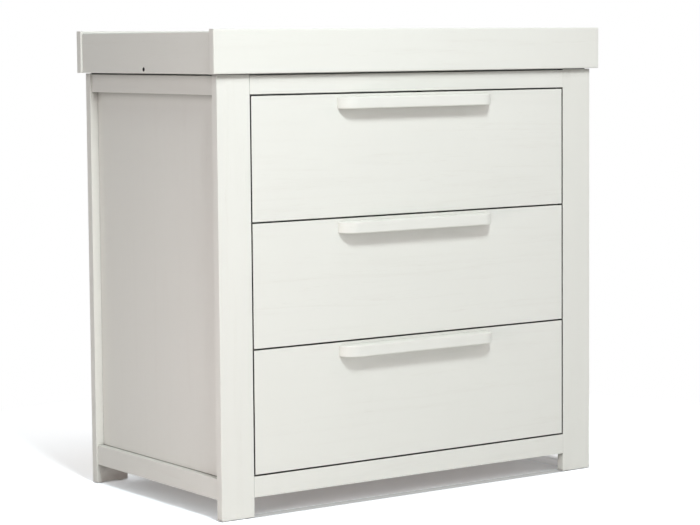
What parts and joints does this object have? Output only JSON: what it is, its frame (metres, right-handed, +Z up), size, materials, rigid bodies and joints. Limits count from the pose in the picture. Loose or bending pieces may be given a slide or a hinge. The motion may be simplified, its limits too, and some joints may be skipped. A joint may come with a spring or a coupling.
{
  "type": "changing dresser",
  "caption": "Low painted wooden chest of full-width drawers on ball runners, standing on its flat posts, with a shallow lift-off changer tray over its top.",
  "frame": {"origin": "on the floor, under the middle of the overall box", "axes": "+Z up; -Y towards the front, the way the drawers pull out; +X to the right seen from the front"},
  "size_m": [0.9422, 0.5468, 0.9285],
  "materials": {
    "painted_wood": "satin warm white paint, with the wood's grain just showing through as fine relief",
    "drawer_wood": "sanded and clear sealed light wood",
    "hardboard": "thin hardboard with a smooth white face",
    "batten_wood": "planed softwood",
    "beech": "turned beech",
    "runner_steel": "zinc plated, folded",
    "screw_steel": "zinc plated",
    "glide_plastic": "plain moulded plastic"
  },
  "bodies": {
    "case": {"front_post_left": "painted_wood", "front_post_right": "painted_wood", "rear_post_left": "painted_wood", "rear_post_right": "painted_wood", "front_top_rail": "painted_wood", "front_bottom_rail": "painted_wood", "rear_top_rail": "painted_wood", "rear_bottom_rail": "painted_wood", "side_top_rail_left": "painted_wood", "side_top_rail_right": "painted_wood", "side_bottom_rail_left": "painted_wood", "side_bottom_rail_right": "painted_wood", "side_panel_left": "painted_wood", "side_panel_right": "painted_wood", "top_panel": "painted_wood", "back_panel": "hardboard", "runner_battens_left": "batten_wood", "runner_battens_right": "batten_wood", "frame_dowels": "beech", "runner_1_cabinet_members": "runner_steel", "runner_2_cabinet_members": "runner_steel", "runner_3_cabinet_members": "runner_steel", "top_brackets": "runner_steel", "case_screws": "screw_steel", "back_panel_tacks": "screw_steel", "foot_glides": "glide_plastic"},
    "drawer_1": {"drawer_1_front": "painted_wood", "drawer_1_handle": "painted_wood", "drawer_1_side_left": "drawer_wood", "drawer_1_side_right": "drawer_wood", "drawer_1_back": "drawer_wood", "drawer_1_bottom": "hardboard", "runner_1_drawer_members": "runner_steel", "drawer_1_fixings": "screw_steel"},
    "ball_cages_1": {"runner_1_ball_cages": "runner_steel"},
    "drawer_2": {"drawer_2_front": "painted_wood", "drawer_2_handle": "painted_wood", "drawer_2_side_left": "drawer_wood", "drawer_2_side_right": "drawer_wood", "drawer_2_back": "drawer_wood", "drawer_2_bottom": "hardboard", "runner_2_drawer_members": "runner_steel", "drawer_2_fixings": "screw_steel"},
    "ball_cages_2": {"runner_2_ball_cages": "runner_steel"},
    "drawer_3": {"drawer_3_front": "painted_wood", "drawer_3_handle": "painted_wood", "drawer_3_side_left": "drawer_wood", "drawer_3_side_right": "drawer_wood", "drawer_3_back": "drawer_wood", "drawer_3_bottom": "hardboard", "runner_3_drawer_members": "runner_steel", "drawer_3_fixings": "screw_steel"},
    "ball_cages_3": {"runner_3_ball_cages": "runner_steel"},
    "changer": {"changer_front_board": "painted_wood", "changer_back_board": "painted_wood", "changer_left_board": "painted_wood", "changer_right_board": "painted_wood", "changer_base": "painted_wood", "changer_dowels": "beech", "changer_locating_screws": "screw_steel"}
  },
  "joints": [
    {"name": "drawer_1_slide", "type": "slide", "parent": "case", "child": "drawer_1", "axis": [0, -1, 0], "range_m": [0, 0.3]},
    {"name": "ball_cages_1_slide", "type": "slide", "parent": "case", "child": "ball_cages_1", "axis": [0, -1, 0], "range_m": [0, 0.15]},
    {"name": "drawer_2_slide", "type": "slide", "parent": "case", "child": "drawer_2", "axis": [0, -1, 0], "range_m": [0, 0.3]},
    {"name": "ball_cages_2_slide", "type": "slide", "parent": "case", "child": "ball_cages_2", "axis": [0, -1, 0], "range_m": [0, 0.15]},
    {"name": "drawer_3_slide", "type": "slide", "parent": "case", "child": "drawer_3", "axis": [0, -1, 0], "range_m": [0, 0.3]},
    {"name": "ball_cages_3_slide", "type": "slide", "parent": "case", "child": "ball_cages_3", "axis": [0, -1, 0], "range_m": [0, 0.15]},
    {"name": "changer_lift_off", "type": "slide", "parent": "case", "child": "changer", "axis": [0, 0, 1], "range_m": [0, 0.15]}
  ],
  "couplings": [
    {"joint": "ball_cages_1_slide", "follows": "drawer_1_slide", "ratio": 0.5},
    {"joint": "ball_cages_2_slide", "follows": "drawer_2_slide", "ratio": 0.5},
    {"joint": "ball_cages_3_slide", "follows": "drawer_3_slide", "ratio": 0.5}
  ]
}
